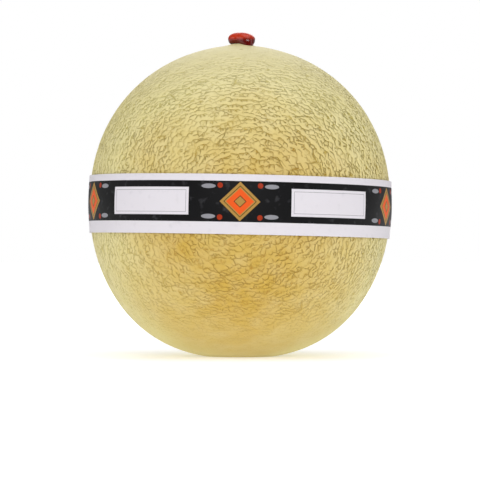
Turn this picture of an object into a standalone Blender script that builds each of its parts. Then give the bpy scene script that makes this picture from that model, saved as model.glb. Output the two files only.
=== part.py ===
"""A netted melon: one fruit with a raised net, red wax over its cut stalk, a paper band round its middle.

Metres, +Z up. The origin is the middle of the flat spot the fruit rests on, and the front is towards -Y.
Each piece is modelled round the fruit's own centre, where its widest ring meets the stalk's axis.
"""

import math

import bmesh
import bpy
import numpy as np
from mathutils import Matrix

# The fruit's outline: a superellipse above its widest ring and one below, with a small neck at the stalk
HALF_WIDTH = 0.075
TOP_HEIGHT = 0.080
TOP_HEIGHT_POWER = 2.2
TOP_WIDTH_POWER = 2.0
BOTTOM_HEIGHT = 0.076
BOTTOM_HEIGHT_POWER = 2.0
BOTTOM_WIDTH_POWER = 2.4
NECK_RISE = 0.0019
NECK_REACH = 0.0085
STALK_END = TOP_HEIGHT + NECK_RISE

# How high the widest ring is when the fruit sits on its small flat spot
WIDEST_HEIGHT = 0.0753

# The raised net, larger than life: strands on the borders between cells, and a sunk floor in each cell
NET_CELLS = 780
NET_SEED = 7
NET_JITTER = 0.42
STRAND_RISE = 0.00045
FLOOR_DEPTH = 0.00085
FLOOR_SHARE = 0.50
SHORTEST_STRAND = 0.0022
NET_FADES_FROM_STALK = (0.008, 0.034)
NET_FADES_FROM_BLOSSOM = (0.0, 0.045)
BLOSSOM_NET_SHARE = 0.45

# The cut stalk's stub, which the wax covers
STUB_RADIUS = 0.0030
STUB_HEIGHT = 0.0028
STUB_ROOT = 0.0040
STUB_SIDES = 15
STUB_LOBES = 5
STUB_LOBE_SHARE = 0.07

# The wax: an oval cap with one run down its front right
WAX_HALF_WIDTH = 0.00675
WAX_HALF_DEPTH = 0.0050
WAX_OFFSET = 0.00075
WAX_TOP = 0.0055
WAX_WIDEST = 0.0021
WAX_TUCK = 0.0009
WAX_RUN_AZIMUTH = math.radians(-57)
WAX_RUN_SPREAD = math.radians(30)
WAX_RUN_REACH = 0.0034
WAX_RUN_SAG = 0.0018
WAX_CROWN_POWERS = (0.8, 0.9)
WAX_SIDES = 32
WAX_CROWN_RINGS = 6
WAX_SKIRT_RINGS = 4

# The paper band. Its ends lap by one ply, which starts on a ramp and ends in a step.
BAND_HEIGHT = 0.0286
BAND_THICKNESS = 0.0005
BAND_BELOW_WIDEST = 0.0006
BAND_RIGHT_DOWN = math.radians(1.15)
BAND_EDGE_FLARE = 0.0004
BAND_FLARE_POWER = 4
BAND_ROWS = 6
BAND_COLUMNS = 72
BAND_FITTING_ROUNDS = 8
LAP_AZIMUTH = math.radians(97)
LAP_LENGTH = 0.014
LAP_RAMP = 0.0025
LAP_STEP = 0.0002

# The gap that separate pieces keep
GAP = 0.0003

# Colours are linear, as a Principled BSDF takes them
RIND_COLOUR = (0.64, 0.51, 0.22, 1.0)
PAPER_COLOUR = (0.78, 0.76, 0.77, 1.0)
WAX_COLOUR = (0.45, 0.03, 0.006, 1.0)

GOLDEN_ANGLE = math.pi * (3 - math.sqrt(5))


def clear_scene():
    for item in list(bpy.data.objects):
        bpy.data.objects.remove(item)


def material(name, colour, roughness):
    made = bpy.data.materials.new(name)
    made.use_nodes = True
    shader = made.node_tree.nodes["Principled BSDF"]
    shader.inputs["Base Color"].default_value = colour
    shader.inputs["Roughness"].default_value = roughness
    shader.inputs["Metallic"].default_value = 0.0
    made.diffuse_color = colour
    return made


def add_object(name, points, faces):
    mesh = bpy.data.meshes.new(name)
    mesh.from_pydata([tuple(point) for point in points], [], faces)
    mesh.update()
    made = bpy.data.objects.new(name, mesh)
    bpy.context.scene.collection.objects.link(made)
    return made


def finish(piece, look, sharp_from):
    """Adds the material and smooth shading, with edges sharp from this angle up, in degrees."""
    piece.data.materials.append(look)
    piece.data.shade_smooth()
    piece.data.set_sharp_from_angle(angle=math.radians(sharp_from))


def ring_points(turns, radius, height):
    """Points round the stalk's axis."""
    return np.stack(np.broadcast_arrays(radius * np.cos(turns), radius * np.sin(turns), height), axis=-1)


def faces_between_rings(rings, size, closed=False):
    """Squares between successive rings, and from the last to the first if closed. Going down faces out."""
    faces = []
    for ring in range(rings if closed else rings - 1):
        here, following = ring * size, (ring + 1) % rings * size
        for n in range(size):
            beside = (n + 1) % size
            faces.append((here + n, following + n, following + beside, here + beside))
    return faces


def eased(value, low, high):
    """0 below low, 1 above high, and a smooth step between them."""
    share = np.clip((value - low) / (high - low), 0, 1)
    return share * share * (3 - 2 * share)


def rest_of(share, power):
    """What is left of 1 once share to that power is taken off."""
    return np.clip(1 - np.clip(share, 0, 1) ** power, 0, 1)


def top_height(radius):
    """How high the upper half stands over the widest ring, at a distance from the stalk's axis."""
    dome = TOP_HEIGHT * rest_of(radius / HALF_WIDTH, TOP_WIDTH_POWER) ** (1 / TOP_HEIGHT_POWER)
    return dome + NECK_RISE * np.exp(-((radius / NECK_REACH) ** 2))


def bottom_depth(radius):
    return BOTTOM_HEIGHT * rest_of(radius / HALF_WIDTH, BOTTOM_WIDTH_POWER) ** (1 / BOTTOM_HEIGHT_POWER)


def radius_at(height):
    """The fruit's radius near its widest ring, at a height over that ring."""
    top = rest_of(height / TOP_HEIGHT, TOP_HEIGHT_POWER) ** (1 / TOP_WIDTH_POWER)
    bottom = rest_of(-height / BOTTOM_HEIGHT, BOTTOM_HEIGHT_POWER) ** (1 / BOTTOM_WIDTH_POWER)
    return HALF_WIDTH * np.where(height > 0, top, bottom)


def outline(polar):
    """Radius and height of the fruit's outline at an angle down from the stalk's axis."""
    upper = polar < 0.5 * math.pi
    power = np.where(upper, 2 / TOP_WIDTH_POWER, 2 / BOTTOM_WIDTH_POWER)
    radius = HALF_WIDTH * np.abs(np.sin(polar)) ** power
    return radius, np.where(upper, top_height(radius), -bottom_depth(radius))


def on_fruit(directions, rise):
    """The points of the fruit's surface in these directions, raised off it by rise."""
    step = 1e-4
    polar = np.clip(np.arccos(np.clip(directions[:, 2], -1, 1)), step, math.pi - step)
    radius, height = outline(polar)
    radius_before, height_before = outline(polar - step)
    radius_after, height_after = outline(polar + step)
    sideways, upwards = height_before - height_after, radius_after - radius_before
    length = np.hypot(sideways, upwards)
    turns = np.arctan2(directions[:, 1], directions[:, 0])
    return ring_points(turns, radius + rise * sideways / length, height + rise * upwards / length)


def net_strength(directions):
    """How strong the net is: faint by the stalk, full round the middle, softer at the blossom end."""
    radius = HALF_WIDTH * np.hypot(directions[:, 0], directions[:, 1])
    by_stalk = eased(radius, *NET_FADES_FROM_STALK)
    by_blossom = BLOSSOM_NET_SHARE + (1 - BLOSSOM_NET_SHARE) * eased(radius, *NET_FADES_FROM_BLOSSOM)
    return np.where(directions[:, 2] > 0, by_stalk, by_blossom)


def scattered_directions():
    """Unit vectors spread evenly by a golden-angle spiral, then nudged at random."""
    count = np.arange(NET_CELLS)
    height = 1 - (2 * count + 1) / NET_CELLS
    spread = ring_points(count * GOLDEN_ANGLE, np.sqrt(1 - height**2), height)
    spacing = math.sqrt(4 * math.pi / NET_CELLS)
    nudge = np.random.default_rng(NET_SEED).uniform(-1, 1, spread.shape)
    spread = spread + nudge * NET_JITTER * spacing
    return spread / np.linalg.norm(spread, axis=1, keepdims=True)


def turn_round(axis, point):
    """The angle of a point round an axis of length 1 through the centre."""
    across = axis.orthogonal().normalized()
    return math.atan2(point.dot(axis.cross(across)), point.dot(across))


def net_pattern(middles):
    """A unit sphere's mesh with one cell for each middle: all that is nearer to it than to the others."""
    hull = bmesh.new()
    seeds = [hull.verts.new(middle) for middle in middles]
    bmesh.ops.convex_hull(hull, input=seeds)
    hull.faces.index_update()
    pattern = bmesh.new()
    corners = []
    for face in hull.faces:
        face.normal_update()
        outwards = math.copysign(1, face.normal.dot(face.verts[0].co))
        corners.append(pattern.verts.new(outwards * face.normal))
    for seed in seeds:
        round_seed = [corners[face.index] for face in seed.link_faces]
        round_seed.sort(key=lambda corner: turn_round(seed.co, corner.co))
        pattern.faces.new(round_seed)
    hull.free()
    return pattern


def netted_skin():
    """The fruit's closed surface: strands on the cell borders, walls down from them, and the cell floors."""
    uneven = net_pattern(scattered_directions())
    middles = [cell.calc_center_median().normalized() for cell in uneven.faces]
    uneven.free()
    pattern = net_pattern(middles)
    bmesh.ops.remove_doubles(pattern, verts=pattern.verts, dist=SHORTEST_STRAND / HALF_WIDTH)
    pattern.verts.index_update()
    joints = [corner.co.normalized() for corner in pattern.verts]
    rims, faces = [], []
    for cell in pattern.faces:
        middle = cell.calc_center_median()
        border = [corner.index for corner in cell.verts]
        rim = [len(joints) + len(rims) + n for n in range(len(border))]
        rims += [middle.lerp(corner.co, FLOOR_SHARE).normalized() for corner in cell.verts]
        faces.append(rim)
        faces += [(border[n - 1], border[n], rim[n], rim[n - 1]) for n in range(len(border))]
    pattern.free()
    joints, rims = np.array(joints), np.array(rims)
    strands = on_fruit(joints, STRAND_RISE * net_strength(joints))
    floors = on_fruit(rims, -FLOOR_DEPTH * net_strength(rims))
    return np.concatenate([strands, floors]), faces


def make_stub():
    """The cut stalk: a short, faintly lobed peg with its root sunk into the fruit."""
    turns = np.arange(STUB_SIDES) * 2 * math.pi / STUB_SIDES
    radius = STUB_RADIUS * (1 + STUB_LOBE_SHARE * np.cos(STUB_LOBES * turns))
    rings = [ring_points(turns, radius, STALK_END + end) for end in (STUB_HEIGHT, -STUB_ROOT)]
    top = tuple(range(STUB_SIDES))
    root = tuple(reversed(range(STUB_SIDES, 2 * STUB_SIDES)))
    stub = add_object("stub", np.concatenate(rings), [*faces_between_rings(2, STUB_SIDES), top, root])
    stub.hide_render = True
    stub.display_type = "WIRE"
    return stub


def make_melon():
    points, faces = netted_skin()
    points[:, 2] = np.maximum(points[:, 2], -WIDEST_HEIGHT)
    melon = add_object("melon", points, faces)
    finish(melon, material("netted_rind", RIND_COLOUR, roughness=0.55), sharp_from=12)
    melon.location.z = WIDEST_HEIGHT
    stub = make_stub()
    stub.parent = melon
    grown_on = melon.modifiers.new("stub", "BOOLEAN")
    grown_on.operation = "UNION"
    grown_on.solver = "EXACT"
    grown_on.object = stub
    return melon


def make_wax_seal():
    """Rings from the crown down to the skirt's foot, then in under the wax and up round the stub."""
    turns = np.arange(WAX_SIDES) * 2 * math.pi / WAX_SIDES
    oval = 1 / np.hypot(np.cos(turns) / WAX_HALF_WIDTH, np.sin(turns) / WAX_HALF_DEPTH)
    off_run = (turns - WAX_RUN_AZIMUTH + math.pi) % (2 * math.pi) - math.pi
    run = np.exp(-((off_run / WAX_RUN_SPREAD) ** 2))
    reach = oval + WAX_OFFSET * np.cos(turns) + WAX_RUN_REACH * run
    widest = STALK_END + WAX_WIDEST - WAX_RUN_SAG * run
    crown = STALK_END + WAX_TOP
    foot = reach - WAX_TUCK * (1 - run)
    foot_height = top_height(foot) + GAP
    stub_radius = STUB_RADIUS * (1 + STUB_LOBE_SHARE) + GAP
    roof = STALK_END + STUB_HEIGHT + GAP
    outwards_power, upwards_power = WAX_CROWN_POWERS
    rings = []
    for angle in np.linspace(0, 0.5 * math.pi, WAX_CROWN_RINGS + 1)[1:]:
        height = widest + (crown - widest) * max(math.cos(angle), 0) ** upwards_power
        rings.append(ring_points(turns, reach * math.sin(angle) ** outwards_power, height))
    for angle in np.linspace(0, 0.5 * math.pi, WAX_SKIRT_RINGS + 1)[1:]:
        radius = foot + (reach - foot) * math.cos(angle)
        rings.append(ring_points(turns, radius, widest + (foot_height - widest) * math.sin(angle)))
    for radius in (0.5 * (foot + stub_radius), stub_radius):
        rings.append(ring_points(turns, radius, top_height(radius) + GAP))
    rings.append(ring_points(turns, stub_radius, roof))

    points = np.concatenate([*rings, [(0, 0, crown), (0, 0, roof)]])
    top, under = len(points) - 2, len(points) - 1
    last = (len(rings) - 1) * WAX_SIDES
    faces = faces_between_rings(len(rings), WAX_SIDES)
    for n in range(WAX_SIDES):
        beside = (n + 1) % WAX_SIDES
        faces.append((top, n, beside))
        faces.append((under, last + beside, last + n))
    wax_seal = add_object("wax_seal", points, faces)
    finish(wax_seal, material("red_wax", WAX_COLOUR, roughness=0.22), sharp_from=50)
    return wax_seal


def band_columns():
    """The band's columns, in order round the fruit, and how many plies of paper each one has."""
    lap, ramp, step = (length / HALF_WIDTH for length in (LAP_LENGTH, LAP_RAMP, LAP_STEP))
    lapped = [LAP_AZIMUTH, LAP_AZIMUTH + 0.5 * lap, LAP_AZIMUTH + lap - step]
    single = np.linspace(LAP_AZIMUTH + lap, LAP_AZIMUTH + 2 * math.pi - ramp, BAND_COLUMNS)
    plies = [2] * len(lapped) + [1] * len(single)
    return np.array([*lapped, *single]), np.array(plies)


def make_paper_band():
    """One strip of paper once round the fruit, its ends lapped and glued at the back."""
    place = Matrix.Translation((0, 0, -BAND_BELOW_WIDEST)) @ Matrix.Rotation(BAND_RIGHT_DOWN, 4, "Y")
    turn, shift = np.array(place.to_3x3()), np.array(place.translation)
    turns, plies = band_columns()
    inner, outer = [], []
    for row in np.linspace(1, -1, BAND_ROWS + 1):
        up = 0.5 * row * BAND_HEIGHT
        radius = np.full_like(turns, HALF_WIDTH)
        for _ in range(BAND_FITTING_ROUNDS):
            across, deep, height = (ring_points(turns, radius, up) @ turn.T + shift).T
            radius = radius + radius_at(height) - np.hypot(across, deep)
        radius += STRAND_RISE + GAP + BAND_EDGE_FLARE * abs(row) ** BAND_FLARE_POWER
        inner.append(ring_points(turns, radius, up))
        outer.append(ring_points(turns, radius + BAND_THICKNESS * plies, up))
    rings = [*outer, *reversed(inner)]
    faces = faces_between_rings(len(rings), len(turns), closed=True)
    paper_band = add_object("paper_band", np.concatenate(rings), faces)
    finish(paper_band, material("band_paper", PAPER_COLOUR, roughness=0.45), sharp_from=40)
    paper_band.matrix_world = place
    return paper_band


def main():
    clear_scene()
    melon = make_melon()
    for piece in (make_wax_seal(), make_paper_band()):
        piece.parent = melon


main()
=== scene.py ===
"""A whole netted melon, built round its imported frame: the fruit, its wax seal and its paper band.

Laid out as a Blender add-on. Metres, +Z up the stalk. The origin is the middle of the flat spot that
the fruit rests on, and the front is towards -Y.
"""

import math

import bpy
import numpy as np
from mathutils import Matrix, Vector


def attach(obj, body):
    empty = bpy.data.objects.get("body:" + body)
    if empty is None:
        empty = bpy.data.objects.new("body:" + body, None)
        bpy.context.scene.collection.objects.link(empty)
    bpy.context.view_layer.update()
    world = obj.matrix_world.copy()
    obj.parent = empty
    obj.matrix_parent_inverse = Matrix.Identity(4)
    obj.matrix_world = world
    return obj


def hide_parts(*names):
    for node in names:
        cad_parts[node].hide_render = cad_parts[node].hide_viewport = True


bl_info = {
    "name": "Netted Melon",
    "version": (1, 0, 0),
    "blender": (4, 5, 0),
    "location": "3D View > Sidebar > Melon",
    "description": "Builds a netted melon with wax on its cut stalk and a printed paper band",
    "category": "Object",
}

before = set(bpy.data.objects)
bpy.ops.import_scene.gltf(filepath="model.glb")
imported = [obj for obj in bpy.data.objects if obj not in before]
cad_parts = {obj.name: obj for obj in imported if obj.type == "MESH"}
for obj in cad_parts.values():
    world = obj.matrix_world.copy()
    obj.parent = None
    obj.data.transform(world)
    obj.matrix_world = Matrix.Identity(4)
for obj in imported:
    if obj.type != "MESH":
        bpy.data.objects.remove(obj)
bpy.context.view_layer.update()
BODY = "root"

# The solid's outline: how square its upper and lower halves are, and the small neck at the stalk
TOP_HEIGHT_POWER = 2.2
TOP_WIDTH_POWER = 2.0
BOTTOM_HEIGHT_POWER = 2.0
BOTTOM_WIDTH_POWER = 2.4
NECK_RISE = 0.0019
NECK_REACH = 0.0085

# How strong the net is: where it fades, by distance from the stalk's axis, and its share at both ends
NET_FADES_FROM_STALK = (0.014, 0.072)
NET_BY_STALK = (0.15, 1.0)
NET_FADES_FROM_BLOSSOM = (0.034, 0.080)
NET_BY_BLOSSOM = (0.12, 0.85)
# The skin stays on the smooth outline round the stalk, where the wax sits on it
BARE_BY_STALK = (0.007, 0.016)
# The net is stronger to the right: how much more than in the middle, and the middle's share
NET_TO_THE_RIGHT = (0.20, 0.88)
# Plates stand at their full height from this strength up
NET_STANDS_FROM = 0.08

# What bends the net, a broad swirl and then a small wobble: wave, reach and noise detail of each
NET_SWIRLS = ((0.050, 0.010, 1.0), (0.0034, 0.0012, 0.0))
# Where the creases come and go: wave, noise where they are least and where whole, and the least depth
SHORT_CREASES = (0.0060, 0.34, 0.56, 0.55)
LONG_CREASES = (0.0120, 0.50, 0.64, 0.0)
# A plate is loose on one side and grown to its neighbours on the other: the cosines where that changes
PLATE_LOOSE_FROM = (-0.20, 0.60)
# Plates are mostly loose on the side away from the fruit's front. This is how far chance turns them
LOOSE_CHANCE = 0.95
# How far one step of the seed moves the pattern
SEED_STEP = (0.31, 0.17, 0.23)
# How far from the middle of a crease its sides reach in the mesh
CREASE_REACH = 0.0014

# The same creases in the material: where the dark bottom fades and the sides end, in crease widths
CREASE_BOTTOM = (0.10, 0.70)
CREASE_SIDES = 1.7
# How much of the crease's colour the bottom and the sides take, and how much cork a plate's crest does.
# The bottom's darkness is partly the skin's own and partly painted shade, the sides' is painted shade
BOTTOM_DARK_AND_SHADE_SHARE = 0.85
SIDES_SHADE_SHARE = 0.16
CREST_SHARE = 0.28
# The sides are shaded this many times as steep as in the mesh, whose faces are too coarse for them
BUMP_STEEPNESS = 1.8

# The way that the fruit's ripest side faces
RIPEST_DIRECTION = (0.02, -0.95, -0.31)
# Ranges of the rind's colour: a value at the start and at the end, and the share at each
RIPE_RANGE = (0.64, 1.20, 0.0, 1.0)
PATCH_RANGE = (0.50, 0.75, 0.0, 0.25)
# Painted light: the top is painted paler, partly the skin's own paler tone and partly light from above
PALE_AND_LIT_TOP_RANGE = (0.60, 1.0, 0.0, 0.5)
MOTTLE_RANGE = (0.40, 0.75, 0.0, 0.18)
# Ripeness drifts in waves of 34 mm and its patches are 47 mm, given as waves to the fruit's radius
DRIFT_WAVES = 2.2
DRIFT_SHARE = 0.45
PATCH_WAVES = 1.6
MOTTLE_WAVE = 0.009
# Grain is drawn at 0.6 mm, coarser than the skin's own pores, so that it shows
GRAIN_WAVE = 0.0006
GRAIN_HEIGHT = 0.00002
# How rough the skin is, and how rough the bottom of a crease
RIND_ROUGHNESS = (0.52, 0.85)

# A small green-brown speck on the skin in front of the stalk
SPECK_PLACE = (0.0006, -0.0225, 0.1522)
SPECK_EDGE = (0.0006, 0.0014)
SPECK_SHARE = 0.5

# The cut stalk's stub under the wax
STUB_RADIUS = 0.0030
STUB_HEIGHT = 0.0028
STUB_ROOT = 0.0040
STUB_SIDES = 40
STUB_LOBES = 5
STUB_LOBE_SHARE = 0.07

# The wax: an oval cap with one run down its front right
WAX_WIDEST = 0.0021
WAX_TUCK = 0.0017
WAX_RUN_AZIMUTH = math.radians(-57)
WAX_RUN_SPREAD = math.radians(30)
WAX_CROWN_POWERS = (0.87, 0.9)
WAX_SIDES = 72
WAX_CROWN_RINGS = 16
WAX_SKIRT_RINGS = 8
WAX_CLEARANCE = 0.00005
# Painted shade: it darkens downwards between these heights over the stalk end, along a cloudy edge,
# partly as thick wax is deeper in colour and partly as shade
WAX_DARKENS = (0.0002, 0.0026)
WAX_CLOUD_WAVE = 0.006
WAX_CLOUD_REACH = 0.0012
WAX_RIPPLE_WAVE = 0.004
WAX_RIPPLE_HEIGHT = 0.00004

# Where the band's ends lap at the back, how the last one climbs, and by how many times the thickness
LAP_AZIMUTH = math.radians(97)
LAP_RAMP = 0.0025
LAP_CLIMB = 1.1
FRONT_AZIMUTH = math.radians(270)
FLARE_POWER = 4.0
COCKLE_WAVE = 0.022
COCKLE_REACH = 0.0004

# The print: its repeats round the fruit, its middle over the strip's, and half the black field's height
PRINT_REPEATS = 5
PRINT_RISE = 0.0013
FIELD_HALF_HEIGHT = 0.00975
# The layers of an empty panel and of a lozenge: half width, half height and ink
PANEL_LAYERS = (
    (0.0225, 0.0066, "paper"),
    (0.0212, 0.0053, "grey"),
    (0.0210, 0.0051, "paper"),
)
LOZENGE_LAYERS = (
    (0.0096, 0.0094, "gold"),
    (0.0078, 0.0076, "black"),
    (0.0074, 0.0072, "gold"),
    (0.0066, 0.0064, "orange"),
    (0.0030, 0.0029, "black"),
    (0.0026, 0.0025, "gold"),
)
# Ovals by each lozenge: how far along and up or down from its middle, half width, half height and ink
OVALS = (
    (0.0150, 0.0072, 0.0034, 0.0011, "grey"),
    (0.0095, 0.0076, 0.0013, 0.0013, "red"),
)
SCUFF_WAVE = 0.004
SCUFF_RANGE = (0.58, 0.80, 0.0, 0.15)
# The sheet's own unevenness is drawn at 3 mm, coarser than paper fibre, so that it shows
SHEET_WAVE = 0.003
SHEET_HEIGHT = 0.00005

# The table ends in front, under the camera, so that the wax has a dark place to mirror
TABLE_REACH = 60.0
TABLE_FRONT = -0.85
TABLE_TONE_WAVE = 0.5
TABLE_TONE_SHARE = 0.05
# Its glow grows to full between these distances from the fruit, as the lamps reach less far there
GLOW_GROWS = (0.5, 3.0)
# A white tent: where its opening behind the camera ends, the light there and elsewhere, and the top's
TENT_OPENING = (-1.0, -0.5)
TENT_LIGHT = (0.08, 0.24)
TENT_TOP = 0.12
# A long low strip in front, a wide panel overhead, and three that fill the sides and the back. Each has
# a name, its height and its turn to the right in degrees, distance, width, depth, and power in watts
LAMPS = (
    ("front_strip", 20, 2, 3.0, 2.4, 0.4, 38),
    ("left_panel", 20, -75, 3.0, 1.6, 1.6, 10),
    ("right_panel", 20, 75, 3.0, 1.6, 1.6, 10),
    ("top_panel", 76, 0, 2.2, 2.4, 2.4, 22),
    ("back_panel", 30, 180, 3.0, 2.0, 2.0, 17),
)
SENSOR_WIDTH = 36.0

# The kinds of node that are used most, and what makes a range ease in and out at its ends
MATH = "ShaderNodeMath"
VECTOR_MATH = "ShaderNodeVectorMath"
MAP_RANGE = "ShaderNodeMapRange"
NOISE = "ShaderNodeTexNoise"
SMOOTH = {"interpolation_type": "SMOOTHSTEP"}
# The middle value of a noise's three channels
NOISE_MIDDLE = (0.5, 0.5, 0.5)
WHITE = (1.0, 1.0, 1.0, 1.0)


def linear(code):
    """The linear colour of an sRGB hex value."""
    shares = [int(code[n : n + 2], 16) / 255 for n in (1, 3, 5)]
    return [share / 12.92 if share <= 0.04045 else ((share + 0.055) / 1.055) ** 2.4 for share in shares]


def length(name, description, default):
    return bpy.props.FloatProperty(
        name=name, description=description, default=default, unit="LENGTH", precision=5
    )


def count(name, description, default):
    return bpy.props.IntProperty(name=name, description=description, default=default)


def colour(name, description, code):
    return bpy.props.FloatVectorProperty(
        name=name, description=description, default=linear(code), subtype="COLOR", min=0, max=1
    )


class FruitSettings(bpy.types.PropertyGroup):
    half_width: length("Half width", "Radius of the widest ring", 0.075)
    top_height: length("Top height", "Height of the stalk end over the widest ring", 0.080)
    bottom_height: length("Bottom height", "Depth of the blossom end under the widest ring", 0.076)
    widest_height: length("Widest ring", "Height of the widest ring over the ground", 0.0753)
    net_cell: length("Net cell", "Usual width of one plate of the net", 0.0024)
    long_cell: length("Long cell", "Usual distance between the long creases", 0.0085)
    net_crest: length("Net crest", "How far the plates stand over the smooth outline", 0.00045)
    net_depth: length("Net depth", "Depth of the creases between plates", 0.00042)
    crease_width: length("Crease width", "Width of the dark bottom of a crease", 0.00038)
    faces_across: count("Faces across", "Faces along an edge of the cube that the skin starts from", 200)
    most_triangles: count("Most triangles", "The skin is thinned to this many where it is plain", 192000)
    net_seed: count("Net seed", "Picks another net", 7)
    pale_skin: colour("Pale skin", "The rind at the shoulders and the back", "#DBCF8C")
    golden_skin: colour("Golden skin", "The rind where the fruit ripened most", "#C6A448")
    pale_crease: colour("Pale crease", "The creases in pale skin", "#9A8818")
    golden_crease: colour("Golden crease", "The creases in golden skin", "#98660C")
    cork: colour("Cork", "The dry crests of the net, and the palest skin", "#E6DDB6")


class WaxSettings(bpy.types.PropertyGroup):
    half_width: length("Half width", "Half of the cap's width, left to right", 0.00675)
    half_depth: length("Half depth", "Half of the cap's depth, front to back", 0.0050)
    offset: length("Offset", "How far the cap sits off the stalk, to the right", 0.00075)
    top: length("Top", "Height of the cap over the stalk end", 0.0055)
    run_reach: length("Run reach", "How far the run reaches out", 0.0034)
    run_sag: length("Run sag", "How far the run hangs down", 0.0018)
    wax: colour("Wax", "The wax's own colour", "#BC2E03")
    thick_and_shaded_wax: colour("Thick wax", "The wax where it is thick and in its own shade", "#5C0600")


class BandSettings(bpy.types.PropertyGroup):
    height: length("Height", "Width of the paper strip", 0.0286)
    thickness: length("Thickness", "Thickness of the paper", 0.00018)
    below_widest: length("Below widest", "How far the band's middle is under the widest ring", 0.0006)
    clearance: length("Clearance", "Distance from the fruit's outline to the paper's back", 0.00095)
    lap: length("Lap", "How far the ends overlap", 0.014)
    flare: length("Edge flare", "How far the edges stand off", 0.0004)
    slope: bpy.props.FloatProperty(
        name="Slope", description="How far the right side is turned down", default=math.radians(1.15),
        unit="ROTATION",
    )
    columns: count("Columns", "Faces along the strip", 360)
    rows: count("Rows", "Faces across the strip", 18)
    paper: colour("Paper", "The bare coated paper", "#D8D4DA")
    black: colour("Black ink", "The printed field", "#0B0B0D")
    gold: colour("Gold ink", "Rims and middles of the printed lozenges", "#A8823F")
    orange: colour("Orange ink", "Bodies of the printed lozenges", "#E0571A")
    grey: colour("Grey ink", "Printed ovals and fine lines", "#8A8A90")
    red: colour("Red ink", "Small printed dots", "#9C2E0E")


class StageSettings(bpy.types.PropertyGroup):
    floor: colour("Floor", "The plain pale floor", "#F4F4F4")
    floor_tone: colour("Floor tone", "What faintly clouds the floor", "#E7E7E7")
    floor_glow: bpy.props.FloatProperty(
        name="Floor glow", description="Light from under the floor, by the fruit", default=0.34
    )
    camera_distance: length("Camera distance", "From the fruit's axis to the camera", 1.37)
    camera_height: length("Camera height", "Height of the camera over the floor", 0.0477)
    aim_height: length("Aim height", "Height of the point that the camera looks at", 0.0583)
    lens: bpy.props.FloatProperty(name="Lens", description="Focal length in millimetres", default=204.5)


def add_node(tree, kind, *inputs, out=0, sockets=None, **settings):
    """Adds a node. Its inputs are constants or other nodes' outputs, and out says what it returns."""
    node = tree.nodes.new(kind)
    for name, value in settings.items():
        setattr(node, name, value)
    for key, value in [*enumerate(inputs), *(sockets or {}).items()]:
        if isinstance(value, bpy.types.NodeSocket):
            tree.links.new(value, node.inputs[key])
        else:
            node.inputs[key].default_value = value
    if isinstance(out, tuple):
        return [node.outputs[n] for n in out]
    return node.outputs[out] if node.outputs else None


def by_half(tree, upper, below, above):
    """One of two values, by whether the point is over the widest ring."""
    return add_node(tree, "ShaderNodeMix", sockets={0: upper, 2: below, 3: above})


def where_whole(tree, spread, wave, least, whole, least_depth):
    """How deep creases are at each point, as a share of the net's depth."""
    noise = add_node(tree, NOISE, spread, sockets={"Scale": 1 / wave, "Detail": 1.0})
    return add_node(tree, MAP_RANGE, noise, least, whole, least_depth, 1.0, **SMOOTH)


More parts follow.
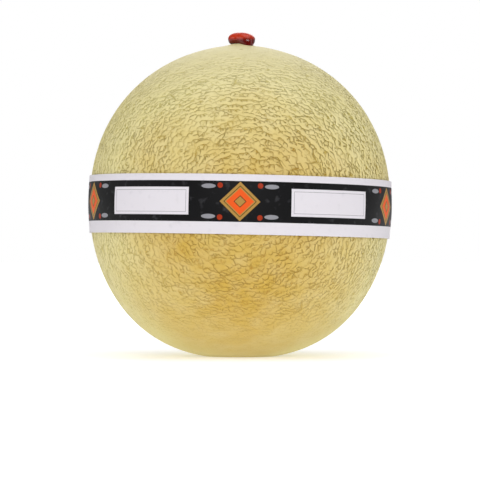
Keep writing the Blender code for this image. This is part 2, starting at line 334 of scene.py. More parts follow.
def net_fields(tree, place, half_width, widest_height, cell, long_cell, seed):
    """The net's pattern, by the same nodes for the fruit's shape and for its colour.

    Returns each point's direction from the fruit's middle, the wavy place that finer patterns follow,
    how strong the net is there, and for each set of creases how far the nearest one is, in metres, and
    how deep it is.
    """
    middle = add_node(tree, "ShaderNodeCombineXYZ", 0.0, 0.0, widest_height)
    centred = add_node(tree, VECTOR_MATH, place, middle, operation="SUBTRACT")
    direction = add_node(tree, VECTOR_MATH, centred, operation="NORMALIZE")
    east, north, up = add_node(tree, "ShaderNodeSeparateXYZ", direction, out=(0, 1, 2))
    # The way down from the stalk stands in for the height, so plates near the stalk lie round it
    polar = add_node(tree, MATH, up, operation="ARCCOSINE")
    spread = add_node(tree, "ShaderNodeCombineXYZ", east, north, polar)
    spread = add_node(tree, VECTOR_MATH, spread, sockets={"Scale": half_width}, operation="SCALE")
    shift = add_node(tree, VECTOR_MATH, SEED_STEP, sockets={"Scale": seed}, operation="SCALE")
    spread = add_node(tree, VECTOR_MATH, spread, shift, operation="ADD")
    for wave, reach, detail in NET_SWIRLS:
        nudge = add_node(tree, NOISE, spread, sockets={"Scale": 1 / wave, "Detail": detail}, out=1)
        nudge = add_node(tree, VECTOR_MATH, nudge, NOISE_MIDDLE, operation="SUBTRACT")
        nudge = add_node(tree, VECTOR_MATH, nudge, sockets={"Scale": reach}, operation="SCALE")
        spread = add_node(tree, VECTOR_MATH, spread, nudge, operation="ADD")

    # The way from the front to the back over the skin, in the same terms as the spread place
    facing = add_node(tree, MATH, north, -1.0, operation="MULTIPLY")
    away_east = add_node(tree, MATH, facing, east, operation="MULTIPLY")
    away_north = add_node(tree, MATH, facing, north, 1.0, operation="MULTIPLY_ADD")
    sine = add_node(tree, MATH, polar, operation="SINE")
    away_polar = add_node(tree, MATH, north, up, operation="MULTIPLY")
    away_polar = add_node(tree, MATH, away_polar, sine, operation="DIVIDE")
    away = add_node(tree, "ShaderNodeCombineXYZ", away_east, away_north, away_polar)
    away = add_node(tree, VECTOR_MATH, away, operation="NORMALIZE")

    creases = []
    for width, places in ((cell, SHORT_CREASES), (long_cell, LONG_CREASES)):
        scale = {"Scale": add_node(tree, MATH, 1.0, width, operation="DIVIDE")}
        apart = add_node(
            tree, "ShaderNodeTexVoronoi", spread, sockets=scale, feature="DISTANCE_TO_EDGE"
        )
        apart = add_node(tree, MATH, apart, width, operation="MULTIPLY")
        chance, core = add_node(tree, "ShaderNodeTexVoronoi", spread, sockets=scale, out=(1, 2))
        side = add_node(tree, VECTOR_MATH, spread, core, operation="SUBTRACT")
        side = add_node(tree, VECTOR_MATH, side, operation="NORMALIZE")
        loose = add_node(tree, VECTOR_MATH, chance, NOISE_MIDDLE, operation="SUBTRACT")
        loose = add_node(tree, VECTOR_MATH, loose, sockets={"Scale": LOOSE_CHANCE}, operation="SCALE")
        loose = add_node(tree, VECTOR_MATH, loose, away, operation="ADD")
        loose = add_node(tree, VECTOR_MATH, loose, operation="NORMALIZE")
        loose = add_node(tree, VECTOR_MATH, side, loose, operation="DOT_PRODUCT", out=1)
        loose = add_node(tree, MAP_RANGE, loose, *PLATE_LOOSE_FROM, 0.0, 1.0, **SMOOTH)
        depth = where_whole(tree, spread, *places)
        creases.append((apart, add_node(tree, MATH, depth, loose, operation="MULTIPLY")))

    flat = add_node(tree, "ShaderNodeCombineXYZ", east, north, 0.0)
    off_axis = add_node(tree, VECTOR_MATH, flat, operation="LENGTH", out=1)
    off_axis = add_node(tree, MATH, off_axis, half_width, operation="MULTIPLY")
    by_stalk, by_blossom, bare = [
        add_node(tree, MAP_RANGE, off_axis, *edges, *shares, **SMOOTH)
        for edges, shares in (
            (NET_FADES_FROM_STALK, NET_BY_STALK),
            (NET_FADES_FROM_BLOSSOM, NET_BY_BLOSSOM),
            (BARE_BY_STALK, (0.0, 1.0)),
        )
    ]
    upper = add_node(tree, MATH, up, 0.0, operation="GREATER_THAN")
    strength = by_half(tree, upper, by_blossom, by_stalk)
    sunny = add_node(tree, MATH, east, *NET_TO_THE_RIGHT, operation="MULTIPLY_ADD")
    strength = add_node(tree, MATH, strength, sunny, operation="MULTIPLY")
    bare = by_half(tree, upper, 1.0, bare)
    strength = add_node(tree, MATH, strength, bare, operation="MULTIPLY")
    return direction, spread, strength, creases


def inside_creases(tree, creases, full, none):
    """1 within one distance of a deep crease, 0 past another, and less where the crease is shallow."""
    deepest = 0.0
    for apart, depth in creases:
        share = add_node(tree, MAP_RANGE, apart, full, none, 1.0, 0.0, **SMOOTH)
        share = add_node(tree, MATH, share, depth, operation="MULTIPLY")
        deepest = add_node(tree, MATH, deepest, share, operation="MAXIMUM")
    return deepest


def new_shape_tree(name, inputs):
    """A Geometry Nodes tree with a named input for each size, and those inputs' sockets by name."""
    tree = bpy.data.node_groups.new(name, "GeometryNodeTree")
    tree.interface.new_socket("Geometry", in_out="OUTPUT", socket_type="NodeSocketGeometry")
    kinds = {int: "NodeSocketInt", float: "NodeSocketFloat", bpy.types.Material: "NodeSocketMaterial"}
    for label, value in inputs.items():
        tree.interface.new_socket(label, in_out="INPUT", socket_type=kinds[type(value)])
    return tree, tree.nodes.new("NodeGroupInput").outputs


def shade_smooth(mesh, sharp_from):
    """Smooth shading, with edges sharp from this angle up, in degrees."""
    mesh.shade_smooth()
    mesh.set_sharp_from_angle(angle=math.radians(sharp_from))


def grow(name, tree, shape, inputs, sharp_from, kept_share=1.0):
    """Ends a Geometry Nodes tree, runs it on a new object with these inputs, and keeps the plain mesh.

    A kept share under 1 thins the faces where the shape is plainest.
    """
    given = tree.nodes["Group Input"].outputs
    shape = add_node(tree, "GeometryNodeRealizeInstances", shape)
    shape = add_node(tree, "GeometryNodeSetMaterial", shape, sockets={"Material": given["Material"]})
    add_node(tree, "NodeGroupOutput", shape)
    piece = bpy.data.objects.new(name, bpy.data.meshes.new(name + "_start"))
    bpy.context.scene.collection.objects.link(piece)
    modifier = piece.modifiers.new(name, "NODES")
    modifier.node_group = tree
    for item in tree.interface.items_tree:
        if item.in_out == "INPUT":
            modifier[item.identifier] = inputs[item.name]
    if kept_share < 1:
        piece.modifiers.new("thin_out", "DECIMATE").ratio = kept_share
    depsgraph = bpy.context.evaluated_depsgraph_get()
    start = piece.data
    piece.data = bpy.data.meshes.new_from_object(
        piece.evaluated_get(depsgraph), preserve_all_data_layers=True, depsgraph=depsgraph
    )
    piece.data.name = name
    piece.modifiers.clear()
    bpy.data.meshes.remove(start)
    shade_smooth(piece.data, sharp_from)
    return piece


def stand_in(piece, node):
    """The piece rides on the fruit's body and stands for a solid of the frame."""
    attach(piece, BODY)
    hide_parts(node)


def outline_inputs(fruit):
    """The sizes of the fruit's outline, for the trees that follow it."""
    return {
        "Half width": fruit.half_width,
        "Top height": fruit.top_height,
        "Bottom height": fruit.bottom_height,
        "Widest ring": fruit.widest_height,
    }


def fruit_shape(tree, given):
    """An evened-out cube blown up to the fruit's outline, with its net raised and a flat spot below."""
    across = given["Points across"]
    skin = add_node(tree, "GeometryNodeMeshCube", (2, 2, 2), across, across, across)
    start = add_node(tree, "GeometryNodeInputPosition")
    # The tangent of the angle makes squares near the cube's corners as large as those on its faces
    evened = add_node(tree, VECTOR_MATH, start, sockets={"Scale": math.pi / 4}, operation="SCALE")
    evened = add_node(tree, VECTOR_MATH, evened, operation="TANGENT")
    direction = add_node(tree, VECTOR_MATH, evened, operation="NORMALIZE")
    east, north, up = add_node(tree, "ShaderNodeSeparateXYZ", direction, out=(0, 1, 2))
    flat = add_node(tree, "ShaderNodeCombineXYZ", east, north, 0.0)
    sine = add_node(tree, VECTOR_MATH, flat, operation="LENGTH", out=1)
    cosine = add_node(tree, MATH, up, operation="ABSOLUTE")
    upper = add_node(tree, MATH, up, 0.0, operation="GREATER_THAN")

    width_power = by_half(tree, upper, 2 / BOTTOM_WIDTH_POWER, 2 / TOP_WIDTH_POWER)
    radius = add_node(tree, MATH, sine, width_power, operation="POWER")
    radius = add_node(tree, MATH, radius, given["Half width"], operation="MULTIPLY")
    height_power = by_half(tree, upper, 2 / BOTTOM_HEIGHT_POWER, 2 / TOP_HEIGHT_POWER)
    height = add_node(tree, MATH, cosine, height_power, operation="POWER")
    depth = add_node(tree, MATH, given["Bottom height"], -1.0, operation="MULTIPLY")
    reach = by_half(tree, upper, depth, given["Top height"])
    height = add_node(tree, MATH, height, reach, given["Widest ring"], operation="MULTIPLY_ADD")
    neck = add_node(tree, MATH, radius, NECK_REACH, operation="DIVIDE")
    neck = add_node(tree, MATH, neck, 2.0, operation="POWER")
    neck = add_node(tree, MATH, neck, -1.0, operation="MULTIPLY")
    neck = add_node(tree, MATH, neck, operation="EXPONENT")
    neck = add_node(tree, MATH, neck, upper, operation="MULTIPLY")
    height = add_node(tree, MATH, neck, NECK_RISE, height, operation="MULTIPLY_ADD")

    outwards = add_node(tree, MATH, radius, sine, operation="DIVIDE")
    lifted = add_node(tree, "ShaderNodeCombineXYZ", 0.0, 0.0, height)
    on_outline = add_node(tree, VECTOR_MATH, flat, sockets={"Scale": outwards}, operation="SCALE")
    on_outline = add_node(tree, VECTOR_MATH, on_outline, lifted, operation="ADD")
    skin = add_node(tree, "GeometryNodeSetPosition", skin, sockets={"Position": on_outline})

    place = add_node(tree, "GeometryNodeInputPosition")
    names = ("Half width", "Widest ring", "Net cell", "Long cell", "Net seed")
    _, _, strength, creases = net_fields(tree, place, *[given[name] for name in names])
    groove = inside_creases(tree, creases, 0.0, CREASE_REACH)
    groove = add_node(tree, MATH, groove, strength, operation="MULTIPLY")
    groove = add_node(tree, MATH, groove, given["Net depth"], operation="MULTIPLY")
    rise = add_node(tree, MATH, given["Net crest"], groove, operation="SUBTRACT")
    netted = add_node(tree, MAP_RANGE, strength, 0.0, NET_STANDS_FROM, 0.0, 1.0)
    rise = add_node(tree, MATH, rise, netted, operation="MULTIPLY")
    normal = add_node(tree, "GeometryNodeInputNormal")
    offset = add_node(tree, VECTOR_MATH, normal, sockets={"Scale": rise}, operation="SCALE")
    skin = add_node(tree, "GeometryNodeSetPosition", skin, sockets={"Offset": offset})
    # Whatever is below the ground comes up to it, which leaves the flat spot
    place = add_node(tree, "GeometryNodeInputPosition")
    resting = add_node(tree, VECTOR_MATH, place, (-1, -1, 0), operation="MAXIMUM")
    return add_node(tree, "GeometryNodeSetPosition", skin, sockets={"Position": resting})


def stub_shape(tree, given):
    """The cut stalk: a short, faintly lobed peg with its root sunk into the fruit."""
    peg_height = STUB_HEIGHT + STUB_ROOT
    peg = add_node(tree, "GeometryNodeMeshCylinder", STUB_SIDES, 1, 1, STUB_RADIUS, peg_height)
    place = add_node(tree, "GeometryNodeInputPosition")
    east, north, up = add_node(tree, "ShaderNodeSeparateXYZ", place, out=(0, 1, 2))
    turn = add_node(tree, MATH, north, east, operation="ARCTAN2")
    turn = add_node(tree, MATH, turn, float(STUB_LOBES), operation="MULTIPLY")
    lobe = add_node(tree, MATH, turn, operation="COSINE")
    lobe = add_node(tree, MATH, lobe, STUB_LOBE_SHARE, 1.0, operation="MULTIPLY_ADD")
    middle = NECK_RISE + 0.5 * (STUB_HEIGHT - STUB_ROOT)
    lift = add_node(tree, MATH, given["Widest ring"], given["Top height"], operation="ADD")
    lift = add_node(tree, MATH, lift, middle, operation="ADD")
    east = add_node(tree, MATH, east, lobe, operation="MULTIPLY")
    north = add_node(tree, MATH, north, lobe, operation="MULTIPLY")
    up = add_node(tree, MATH, up, lift, operation="ADD")
    place = add_node(tree, "ShaderNodeCombineXYZ", east, north, up)
    return add_node(tree, "GeometryNodeSetPosition", peg, sockets={"Position": place})


class MakeFruit(bpy.types.Operator):
    """Make the fruit: its body with the raised net, its flat spot and the stub of its stalk"""

    bl_idname = "netted_melon.make_fruit"
    bl_label = "Fruit"

    def execute(self, context):
        fruit = context.scene.melon_fruit
        inputs = {
            **outline_inputs(fruit),
            "Net cell": fruit.net_cell,
            "Long cell": fruit.long_cell,
            "Net crest": fruit.net_crest,
            "Net depth": fruit.net_depth,
            "Net seed": fruit.net_seed,
            "Points across": fruit.faces_across + 1,
            "Material": rind_material(fruit),
        }
        tree, given = new_shape_tree("Netted fruit", inputs)
        skin = fruit_shape(tree, given)
        stub = stub_shape(tree, given)
        both = tree.nodes.new("GeometryNodeMeshBoolean")
        both.operation = "UNION"
        both.solver = "MANIFOLD"
        for part in (skin, stub):
            tree.links.new(part, both.inputs["Mesh 2"])
        cube_triangles = 6 * 2 * fruit.faces_across**2
        kept_share = fruit.most_triangles / cube_triangles
        melon = grow("netted_fruit", tree, both.outputs[0], inputs, sharp_from=70, kept_share=kept_share)
        stand_in(melon, "melon")
        return {"FINISHED"}


def ring_points(turns, radius, height):
    """Points round the stalk's axis."""
    ring = (radius * np.cos(turns), radius * np.sin(turns), height)
    return np.stack(np.broadcast_arrays(*ring), axis=-1)


def stalk_end(fruit):
    """How high the fruit's own top is over the ground, without the stub."""
    return fruit.widest_height + fruit.top_height + NECK_RISE


def top_height(fruit, radius):
    """How high the fruit stands over the ground near the stalk, at a distance from the stalk's axis."""
    dome = (1 - (radius / fruit.half_width) ** TOP_WIDTH_POWER) ** (1 / TOP_HEIGHT_POWER)
    neck = NECK_RISE * np.exp(-((radius / NECK_REACH) ** 2))
    return fruit.widest_height + fruit.top_height * dome + neck


def wax_rings(fruit, wax):
    """Rings from the crown down to the skirt's foot, then in under the wax and up round the stub."""
    turns = np.arange(WAX_SIDES) * 2 * math.pi / WAX_SIDES
    oval = 1 / np.hypot(np.cos(turns) / wax.half_width, np.sin(turns) / wax.half_depth)
    off_run = (turns - WAX_RUN_AZIMUTH + math.pi) % (2 * math.pi) - math.pi
    run = np.exp(-((off_run / WAX_RUN_SPREAD) ** 2))
    reach = oval + wax.offset * np.cos(turns) + wax.run_reach * run
    widest = stalk_end(fruit) + WAX_WIDEST - wax.run_sag * run
    crown = stalk_end(fruit) + wax.top
    foot = reach - WAX_TUCK * (1 - run)
    foot_height = top_height(fruit, foot) + WAX_CLEARANCE
    stub_radius = STUB_RADIUS * (1 + STUB_LOBE_SHARE) + WAX_CLEARANCE
    roof = stalk_end(fruit) + STUB_HEIGHT + WAX_CLEARANCE
    outwards_power, upwards_power = WAX_CROWN_POWERS
    rings = []
    for angle in np.linspace(0, 0.5 * math.pi, WAX_CROWN_RINGS + 1)[1:]:
        height = widest + (crown - widest) * max(math.cos(angle), 0) ** upwards_power
        rings.append(ring_points(turns, reach * math.sin(angle) ** outwards_power, height))
    for angle in np.linspace(0, 0.5 * math.pi, WAX_SKIRT_RINGS + 1)[1:]:
        radius = foot + (reach - foot) * math.cos(angle)
        rings.append(ring_points(turns, radius, widest + (foot_height - widest) * math.sin(angle)))
    for radius in (0.5 * (foot + stub_radius), stub_radius):
        rings.append(ring_points(turns, radius, top_height(fruit, radius) + WAX_CLEARANCE))
    rings.append(ring_points(turns, stub_radius, roof))
    return rings, crown, roof


class MakeWax(bpy.types.Operator):
    """Make the cap of sealing wax on the cut stalk"""

    bl_idname = "netted_melon.make_wax"
    bl_label = "Wax seal"

    def execute(self, context):
        fruit, wax = context.scene.melon_fruit, context.scene.melon_wax
        rings, crown, roof = wax_rings(fruit, wax)
        points = np.concatenate([*rings, [(0, 0, crown), (0, 0, roof)]])
        top, under = len(points) - 2, len(points) - 1
        last = (len(rings) - 1) * WAX_SIDES
        faces = []
        for n in range(WAX_SIDES):
            beside = (n + 1) % WAX_SIDES
            for ring in range(0, last, WAX_SIDES):
                lower = ring + WAX_SIDES
                faces.append((ring + n, lower + n, lower + beside, ring + beside))
            faces.append((top, n, beside))
            faces.append((under, last + beside, last + n))
        mesh = bpy.data.meshes.new("sealing_wax")
        mesh.from_pydata([tuple(point) for point in points], [], faces)
        shade_smooth(mesh, sharp_from=60)
        mesh.materials.append(wax_material(wax, stalk_end(fruit)))
        seal = bpy.data.objects.new("sealing_wax", mesh)
        context.scene.collection.objects.link(seal)
        stand_in(seal, "wax_seal")
        return {"FINISHED"}


def band_shape(tree, given):
    """A paper strip bent round the fruit: a tube at first, whose rings become cuts across the strip."""
    rows = add_node(tree, MATH, given["Rows"], 1.0, operation="ADD")
    around = add_node(tree, MATH, rows, 2.0, operation="MULTIPLY")
    strip = add_node(tree, "GeometryNodeMeshCylinder", around, given["Columns"], 1, 1.0, 1.0)
    index = add_node(tree, "GeometryNodeInputIndex")
    column = add_node(tree, MATH, index, around, operation="DIVIDE")
    column = add_node(tree, MATH, column, operation="FLOOR")
    corner = add_node(tree, MATH, index, around, operation="MODULO")
    outer = add_node(tree, MATH, corner, rows, operation="LESS_THAN")
    # The inner half of each ring runs back up
    back = add_node(tree, MATH, around, 1.0, operation="SUBTRACT")
    back = add_node(tree, MATH, back, corner, operation="SUBTRACT")
    row = add_node(tree, "ShaderNodeMix", sockets={0: outer, 2: back, 3: corner})
    down = add_node(tree, MATH, row, given["Rows"], operation="DIVIDE")
    up = add_node(tree, MATH, 0.5, down, operation="SUBTRACT")
    up = add_node(tree, MATH, up, given["Height"], operation="MULTIPLY")

    lap_turn = add_node(tree, MATH, given["Lap"], given["Half width"], operation="DIVIDE")
    whole_turn = add_node(tree, MATH, lap_turn, 2 * math.pi, operation="ADD")
    turned = add_node(tree, MATH, column, given["Columns"], operation="DIVIDE")
    turned = add_node(tree, MATH, turned, whole_turn, operation="MULTIPLY")
    turn = add_node(tree, MATH, turned, LAP_AZIMUTH, operation="ADD")
    east = add_node(tree, MATH, turn, operation="COSINE")
    north = add_node(tree, MATH, turn, operation="SINE")
    east = add_node(tree, MATH, east, given["Half width"], operation="MULTIPLY")
    north = add_node(tree, MATH, north, given["Half width"], operation="MULTIPLY")
    level = add_node(tree, "ShaderNodeCombineXYZ", east, north, up)
    sloped = add_node(
        tree, "ShaderNodeVectorRotate", level, sockets={"Angle": given["Slope"]}, rotation_type="Y_AXIS"
    )
    east, north, height = add_node(tree, "ShaderNodeSeparateXYZ", sloped, out=(0, 1, 2))
    height = add_node(tree, MATH, height, given["Below widest"], operation="SUBTRACT")

    # The radius of the fruit's outline at that height
    above = add_node(tree, MATH, height, 0.0, operation="GREATER_THAN")
    reach = by_half(tree, above, given["Bottom height"], given["Top height"])
    height_power = by_half(tree, above, BOTTOM_HEIGHT_POWER, TOP_HEIGHT_POWER)
    width_power = by_half(tree, above, 1 / BOTTOM_WIDTH_POWER, 1 / TOP_WIDTH_POWER)
    share = add_node(tree, MATH, height, operation="ABSOLUTE")
    share = add_node(tree, MATH, share, reach, operation="DIVIDE")
    share = add_node(tree, MATH, share, height_power, operation="POWER")
    rest = add_node(tree, MATH, 1.0, share, operation="SUBTRACT")
    radius = add_node(tree, MATH, rest, width_power, operation="POWER")
    radius = add_node(tree, MATH, radius, given["Half width"], operation="MULTIPLY")

    edge = add_node(tree, MATH, down, 2.0, -1.0, operation="MULTIPLY_ADD")
    edge = add_node(tree, MATH, edge, FLARE_POWER, operation="POWER")
    off = add_node(tree, MATH, edge, given["Flare"], given["Clearance"], operation="MULTIPLY_ADD")
    off = add_node(tree, MATH, outer, given["Thickness"], off, operation="MULTIPLY_ADD")
    # The last stretch climbs over the first
    gone = add_node(tree, MATH, turned, given["Half width"], operation="MULTIPLY")
    full = add_node(tree, MATH, given["Half width"], 2 * math.pi, operation="MULTIPLY")
    ramp = add_node(tree, MATH, full, LAP_RAMP, operation="SUBTRACT")
    over = add_node(tree, MAP_RANGE, gone, ramp, full, 0.0, LAP_CLIMB, **SMOOTH)
    off = add_node(tree, MATH, over, given["Thickness"], off, operation="MULTIPLY_ADD")
    cockle = add_node(tree, NOISE, sloped, sockets={"Scale": 1 / COCKLE_WAVE, "Detail": 1.0})
    cockle = add_node(tree, MATH, cockle, 0.5, operation="SUBTRACT")
    off = add_node(tree, MATH, cockle, COCKLE_REACH, off, operation="MULTIPLY_ADD")
    radius = add_node(tree, MATH, radius, off, operation="ADD")

    flat = add_node(tree, "ShaderNodeCombineXYZ", east, north, 0.0)
    flat = add_node(tree, VECTOR_MATH, flat, operation="NORMALIZE")
    place = add_node(tree, VECTOR_MATH, flat, sockets={"Scale": radius}, operation="SCALE")
    height = add_node(tree, MATH, height, given["Widest ring"], operation="ADD")
    lift = add_node(tree, "ShaderNodeCombineXYZ", 0.0, 0.0, height)
    place = add_node(tree, VECTOR_MATH, place, lift, operation="ADD")
    strip = add_node(tree, "GeometryNodeSetPosition", strip, sockets={"Position": place})
    # Bending turned the tube's faces inwards, so they are flipped
    strip = add_node(tree, "GeometryNodeFlipFaces", strip)

    along = add_node(tree, MATH, turn, FRONT_AZIMUTH, operation="SUBTRACT")
    along = add_node(tree, MATH, along, given["Half width"], operation="MULTIPLY")
    print_place = add_node(tree, "ShaderNodeCombineXYZ", along, up, outer)
    return add_node(
        tree, "GeometryNodeStoreNamedAttribute", strip,
        sockets={"Name": "print_place", "Value": print_place}, data_type="FLOAT_VECTOR", domain="POINT",
    )


class MakeBand(bpy.types.Operator):
    """Make the printed paper band round the fruit's middle, lapped at the back"""

    bl_idname = "netted_melon.make_band"
    bl_label = "Paper band"

    def execute(self, context):
        fruit, band = context.scene.melon_fruit, context.scene.melon_band
        inputs = {
            **outline_inputs(fruit),
            "Height": band.height,
            "Thickness": band.thickness,
            "Below widest": band.below_widest,
            "Clearance": band.clearance,
            "Lap": band.lap,
            "Flare": band.flare,
            "Slope": band.slope,
            "Columns": band.columns,
            "Rows": band.rows,
            "Material": paper_material(band, fruit),
        }
        tree, given = new_shape_tree("Paper band", inputs)
        paper = grow("printed_band", tree, band_shape(tree, given), inputs, sharp_from=40)
        stand_in(paper, "paper_band")
        return {"FINISHED"}


def new_material(name):
    made = bpy.data.materials.new(name)
    made.use_nodes = True
    made.node_tree.nodes.clear()
    return made, made.node_tree


def end_material(tree, look):
    """Ends a material with a shader that has these values and links."""
    add_node(tree, "ShaderNodeOutputMaterial", add_node(tree, "ShaderNodeBsdfPrincipled", sockets=look))


def ink(tint):
    """A setting's colour as a node takes it."""
    return (*tint, 1.0)


def laid_over(tree, under, *coats):
    """A colour with coats laid over it in turn. Each is a share and a colour."""
    for share, tint in coats:
        coat = {0: share, 6: under, 7: tint}
        under = add_node(tree, "ShaderNodeMix", sockets=coat, out=2, data_type="RGBA")
    return under


def rind_material(fruit):
    """Melon rind as it grew: waxy skin, pale green to golden, under a dry net of cork split by creases.

    The skin gives a soft sheen, and the net's pale crests and warm, dark creases give the worked look.
    The creases' darkness is partly painted shade, and the top is painted paler as if lit from above.
    """
    rind, tree = new_material("grown_netted_rind")
    place = add_node(tree, "ShaderNodeTexCoord", out=3)
    direction, spread, strength, creases = net_fields(
        tree, place, fruit.half_width, fruit.widest_height, fruit.net_cell, fruit.long_cell,
        float(fruit.net_seed),
    )
    bottom_from, bottom_to, sides_to = [
        share * fruit.crease_width for share in (*CREASE_BOTTOM, CREASE_SIDES)
    ]
    bottom = inside_creases(tree, creases, bottom_from, bottom_to)
    bottom = add_node(tree, MATH, bottom, strength, operation="MULTIPLY")
    dip = inside_creases(tree, creases, 0.0, sides_to)
    crease = add_node(tree, MATH, dip, strength, operation="MULTIPLY")
    sides = add_node(tree, MATH, crease, bottom, operation="SUBTRACT")
    sides = add_node(tree, MATH, sides, 0.0, operation="MAXIMUM")

    # The front ripened most, from golden there to pale on the shoulders and at the back
    ripe = add_node(tree, VECTOR_MATH, direction, RIPEST_DIRECTION, operation="DOT_PRODUCT", out=1)
    drift = add_node(tree, NOISE, direction, sockets={"Scale": DRIFT_WAVES, "Detail": 3.0})
    ripe = add_node(tree, MATH, drift, DRIFT_SHARE, ripe, operation="MULTIPLY_ADD")
    ripe = add_node(tree, MAP_RANGE, ripe, *RIPE_RANGE)
    patch = add_node(tree, NOISE, direction, sockets={"Scale": PATCH_WAVES, "Detail": 2.0})
    patch = add_node(tree, MAP_RANGE, patch, *PATCH_RANGE, **SMOOTH)
    patch = add_node(tree, MATH, patch, strength, operation="MULTIPLY")
    ripe = add_node(tree, MATH, ripe, patch, operation="MAXIMUM")

    _, _, up = add_node(tree, "ShaderNodeSeparateXYZ", direction, out=(0, 1, 2))
    # Painted light: paler towards the top, partly the skin's own tone and partly painted top light
    pale_and_lit_top = add_node(tree, MAP_RANGE, up, *PALE_AND_LIT_TOP_RANGE)
    mottle = add_node(tree, NOISE, spread, sockets={"Scale": 1 / MOTTLE_WAVE, "Detail": 4.0})
    mottle = add_node(tree, MAP_RANGE, mottle, *MOTTLE_RANGE)
    # Crests are corky where the skin is unripe
    crest = add_node(tree, MATH, 1.0, dip, operation="SUBTRACT")
    crest = add_node(tree, MATH, crest, strength, operation="MULTIPLY")
    unripe = add_node(tree, MATH, 1.0, ripe, operation="SUBTRACT")
    crest = add_node(tree, MATH, crest, unripe, operation="MULTIPLY")
    crest = add_node(tree, MATH, crest, CREST_SHARE, operation="MULTIPLY")
    # Painted shade: the crease sides take a little of the crease colour, and the bottoms most of it,
    # partly the darker skin there and partly shade
    side_painted_shade = add_node(tree, MATH, sides, SIDES_SHADE_SHARE, operation="MULTIPLY")
    bottom_dark_and_shade = add_node(tree, MATH, bottom, BOTTOM_DARK_AND_SHADE_SHARE, operation="MULTIPLY")
    speck = add_node(tree, VECTOR_MATH, place, SPECK_PLACE, operation="DISTANCE", out=1)
    speck = add_node(tree, MAP_RANGE, speck, *SPECK_EDGE, SPECK_SHARE, 0.0, **SMOOTH)
    cork, pale_crease = ink(fruit.cork), ink(fruit.pale_crease)
    crease_and_shade_tint = laid_over(tree, pale_crease, (ripe, ink(fruit.golden_crease)))
    skin = laid_over(
        tree,
        ink(fruit.pale_skin),
        (ripe, ink(fruit.golden_skin)),
        (pale_and_lit_top, cork),
        (mottle, cork),
        (crest, cork),
        (side_painted_shade, crease_and_shade_tint),
        (bottom_dark_and_shade, crease_and_shade_tint),
        (speck, pale_crease),
    )

    grain = add_node(tree, NOISE, place, sockets={"Scale": 1 / GRAIN_WAVE, "Detail": 3.0})
    steep_depth = BUMP_STEEPNESS * fruit.net_depth
    relief = add_node(tree, MATH, crease, -steep_depth, operation="MULTIPLY")
    relief = add_node(tree, MATH, grain, GRAIN_HEIGHT, relief, operation="MULTIPLY_ADD")
    bumps = {"Strength": 1.0, "Distance": 1.0, "Height": relief}
    end_material(tree, {
        "Base Color": skin,
        "Roughness": add_node(tree, MAP_RANGE, bottom, 0.0, 1.0, *RIND_ROUGHNESS),
        "IOR": 1.45,
        "Specular IOR Level": 0.3,
        "Normal": add_node(tree, "ShaderNodeBump", sockets=bumps),
    })
    return rind


def wax_material(wax, stalk_height):
    """Sealing wax, poured molten and left to set: smooth, glossy, and darker towards its foot, partly as
    it is thick there and partly as painted shade.
    """
    poured, tree = new_material("poured_sealing_wax")
    place = add_node(tree, "ShaderNodeTexCoord", out=3)
    cloud = add_node(tree, NOISE, place, sockets={"Scale": 1 / WAX_CLOUD_WAVE, "Detail": 2.0})
    _, _, height = add_node(tree, "ShaderNodeSeparateXYZ", place, out=(0, 1, 2))
    # Painted shade: the lower wax is darkened, partly for its thickness and partly for the shade it sits
    # in
    thick_shaded_foot = add_node(tree, MATH, cloud, -WAX_CLOUD_REACH, height, operation="MULTIPLY_ADD")
    darkest, brightest = [stalk_height + over for over in WAX_DARKENS]
    thick_shaded_foot = add_node(tree, MAP_RANGE, thick_shaded_foot, darkest, brightest, 1.0, 0.0, **SMOOTH)
    ripple = add_node(tree, NOISE, place, sockets={"Scale": 1 / WAX_RIPPLE_WAVE, "Detail": 1.0})
    bumps = {"Strength": 1.0, "Distance": WAX_RIPPLE_HEIGHT, "Height": ripple}
    end_material(tree, {
        "Base Color": laid_over(tree, ink(wax.wax), (thick_shaded_foot, ink(wax.thick_and_shaded_wax))),
        "Roughness": 0.10,
        "IOR": 1.50,
        "Specular IOR Level": 0.4,
        "Normal": add_node(tree, "ShaderNodeBump", sockets=bumps),
    })
    return poured


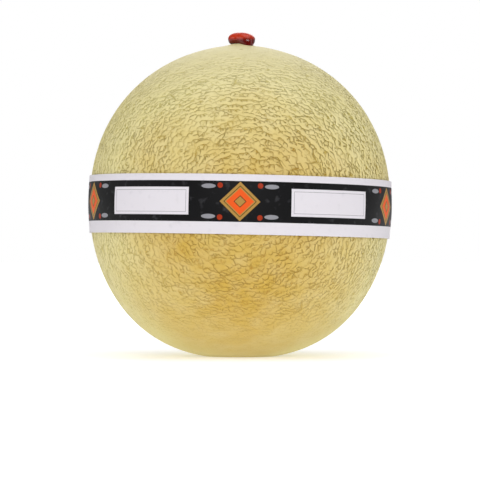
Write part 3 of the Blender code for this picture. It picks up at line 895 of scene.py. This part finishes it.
def paper_material(band, fruit):
    """Coated white paper, offset printed: an even sheen, flat inks with crisp edges, a few scuffs."""
    printed, tree = new_material("offset_printed_coated_paper")
    place = add_node(tree, "ShaderNodeAttribute", out=1, attribute_name="print_place")
    along, up, outer = add_node(tree, "ShaderNodeSeparateXYZ", place, out=(0, 1, 2))
    half_repeat = math.pi * fruit.half_width / PRINT_REPEATS
    across = add_node(tree, MATH, along, half_repeat, operation="PINGPONG")
    above = add_node(tree, MATH, up, PRINT_RISE, operation="SUBTRACT")
    above = add_node(tree, MATH, above, operation="ABSOLUTE")
    field = add_node(tree, MATH, above, FIELD_HALF_HEIGHT, operation="LESS_THAN")
    coats = [(field, ink(band.black))]

    # A panel in the middle between two lozenges
    from_panel = add_node(tree, MATH, half_repeat, across, operation="SUBTRACT")
    for half_wide, half_high, tint in PANEL_LAYERS:
        wide = add_node(tree, MATH, from_panel, half_wide, operation="LESS_THAN")
        high = add_node(tree, MATH, above, half_high, operation="LESS_THAN")
        panel = add_node(tree, MATH, wide, high, operation="MULTIPLY")
        coats.append((panel, ink(getattr(band, tint))))

    for half_wide, half_high, tint in LOZENGE_LAYERS:
        side = add_node(tree, MATH, across, half_wide, operation="DIVIDE")
        rise = add_node(tree, MATH, above, half_high, operation="DIVIDE")
        lozenge = add_node(tree, MATH, side, rise, operation="ADD")
        lozenge = add_node(tree, MATH, lozenge, 1.0, operation="LESS_THAN")
        coats.append((lozenge, ink(getattr(band, tint))))

    for middle, height, half_wide, half_high, tint in OVALS:
        side = add_node(tree, MATH, across, middle, operation="SUBTRACT")
        side = add_node(tree, MATH, side, half_wide, operation="DIVIDE")
        rise = add_node(tree, MATH, above, height, operation="SUBTRACT")
        rise = add_node(tree, MATH, rise, half_high, operation="DIVIDE")
        oval = add_node(tree, "ShaderNodeCombineXYZ", side, rise, 0.0)
        oval = add_node(tree, VECTOR_MATH, oval, operation="LENGTH", out=1)
        oval = add_node(tree, MATH, oval, 1.0, operation="LESS_THAN")
        coats.append((oval, ink(getattr(band, tint))))

    scuff = add_node(tree, NOISE, place, sockets={"Scale": 1 / SCUFF_WAVE, "Detail": 4.0})
    scuff = add_node(tree, MAP_RANGE, scuff, *SCUFF_RANGE)
    coats.append((scuff, ink(band.grey)))
    # Only the outer face is printed, which the attribute marks with 1
    face = laid_over(tree, ink(band.paper), *coats)
    front = add_node(tree, MATH, outer, 0.99, operation="GREATER_THAN")
    uneven = add_node(tree, NOISE, place, sockets={"Scale": 1 / SHEET_WAVE, "Detail": 2.0})
    bumps = {"Strength": 1.0, "Distance": SHEET_HEIGHT, "Height": uneven}
    end_material(tree, {
        "Base Color": laid_over(tree, ink(band.paper), (front, face)),
        "Roughness": 0.45,
        "IOR": 1.50,
        "Specular IOR Level": 0.12,
        "Normal": add_node(tree, "ShaderNodeBump", sockets=bumps),
    })
    return printed


def floor_material(stage):
    """Matt white acrylic, lit faintly from below as a product table is, so that shadows stay soft."""
    sweep, tree = new_material("matt_white_acrylic")
    place = add_node(tree, "ShaderNodeTexCoord", out=3)
    tone = add_node(tree, NOISE, place, sockets={"Scale": 1 / TABLE_TONE_WAVE, "Detail": 2.0})
    tone = add_node(tree, MAP_RANGE, tone, 0.0, 1.0, 0.0, TABLE_TONE_SHARE)
    far = add_node(tree, VECTOR_MATH, place, operation="LENGTH", out=1)
    end_material(tree, {
        "Base Color": laid_over(tree, ink(stage.floor), (tone, ink(stage.floor_tone))),
        "Roughness": 0.9,
        "Emission Color": WHITE,
        "Emission Strength": add_node(tree, MAP_RANGE, far, *GLOW_GROWS, stage.floor_glow, 1.0),
    })
    return sweep


def white_tent():
    """A world like a white tent: bright overhead and at the sides, dimmer at its opening."""
    world = bpy.data.worlds.new("white_tent")
    world.use_nodes = True
    tree = world.node_tree
    tree.nodes.clear()
    look = add_node(tree, "ShaderNodeTexCoord")
    _, north, up = add_node(tree, "ShaderNodeSeparateXYZ", look, out=(0, 1, 2))
    tent = add_node(tree, MAP_RANGE, north, *TENT_OPENING, *TENT_LIGHT)
    tent = add_node(tree, MATH, up, TENT_TOP, tent, operation="MULTIPLY_ADD")
    seen = add_node(tree, "ShaderNodeLightPath")
    bright = add_node(tree, "ShaderNodeMix", sockets={0: seen, 2: tent, 3: 1.0})
    bright = add_node(tree, "ShaderNodeBackground", WHITE, bright)
    add_node(tree, "ShaderNodeOutputWorld", bright)
    return world


class MakeStage(bpy.types.Operator):
    """Make the floor, the soft studio light and the camera"""

    bl_idname = "netted_melon.make_stage"
    bl_label = "Stage"

    def execute(self, context):
        scene, stage = context.scene, context.scene.melon_stage
        scene.view_settings.view_transform = "Standard"
        scene.world = white_tent()
        mesh = bpy.data.meshes.new("floor")
        corners = [
            (-TABLE_REACH, TABLE_FRONT, 0),
            (TABLE_REACH, TABLE_FRONT, 0),
            (TABLE_REACH, TABLE_REACH, 0),
            (-TABLE_REACH, TABLE_REACH, 0),
        ]
        mesh.from_pydata(corners, [], [(0, 1, 2, 3)])
        mesh.materials.append(floor_material(stage))
        floor = bpy.data.objects.new("floor", mesh)
        scene.collection.objects.link(floor)

        for name, elevation, azimuth, distance, width, depth, power in LAMPS:
            lamp = bpy.data.lights.new(name, "AREA")
            lamp.shape = "RECTANGLE"
            lamp.size = width
            lamp.size_y = depth
            lamp.energy = power
            holder = bpy.data.objects.new(name, lamp)
            rise, turn = math.radians(elevation), math.radians(azimuth)
            level = math.cos(rise)
            come_from = Vector((level * math.sin(turn), -level * math.cos(turn), math.sin(rise)))
            holder.location = distance * come_from
            holder.rotation_euler = come_from.to_track_quat("Z", "Y").to_euler()
            scene.collection.objects.link(holder)

        camera = bpy.data.objects.new("camera", bpy.data.cameras.new("camera"))
        camera.data.lens = stage.lens
        camera.data.sensor_width = SENSOR_WIDTH
        camera.location = (0, -stage.camera_distance, stage.camera_height)
        towards = Vector((0, stage.camera_distance, stage.aim_height - stage.camera_height))
        camera.rotation_euler = towards.to_track_quat("-Z", "Y").to_euler()
        scene.collection.objects.link(camera)
        scene.camera = camera
        return {"FINISHED"}


class MelonPanel(bpy.types.Panel):
    """Lists the melon's pieces"""

    bl_idname = "VIEW3D_PT_netted_melon"
    bl_label = "Netted melon"
    bl_space_type = "VIEW_3D"
    bl_region_type = "UI"
    bl_category = "Melon"

    def draw(self, context):
        for maker, settings in PIECES:
            box = self.layout.box()
            box.operator(maker.bl_idname)
            group = getattr(context.scene, settings)
            for name in type(group).__annotations__:
                box.prop(group, name)


SETTINGS = {
    "melon_fruit": FruitSettings,
    "melon_wax": WaxSettings,
    "melon_band": BandSettings,
    "melon_stage": StageSettings,
}
PIECES = (
    (MakeFruit, "melon_fruit"),
    (MakeWax, "melon_wax"),
    (MakeBand, "melon_band"),
    (MakeStage, "melon_stage"),
)
CLASSES = (*SETTINGS.values(), *[maker for maker, _ in PIECES], MelonPanel)


def register():
    for each in CLASSES:
        bpy.utils.register_class(each)
    for name, group in SETTINGS.items():
        setattr(bpy.types.Scene, name, bpy.props.PointerProperty(type=group))


def unregister():
    for name in SETTINGS:
        delattr(bpy.types.Scene, name)
    for each in reversed(CLASSES):
        bpy.utils.unregister_class(each)


def main():
    register()
    bpy.ops.netted_melon.make_fruit()
    bpy.ops.netted_melon.make_wax()
    bpy.ops.netted_melon.make_band()
    bpy.ops.netted_melon.make_stage()


if __name__ == "__main__":
    main()
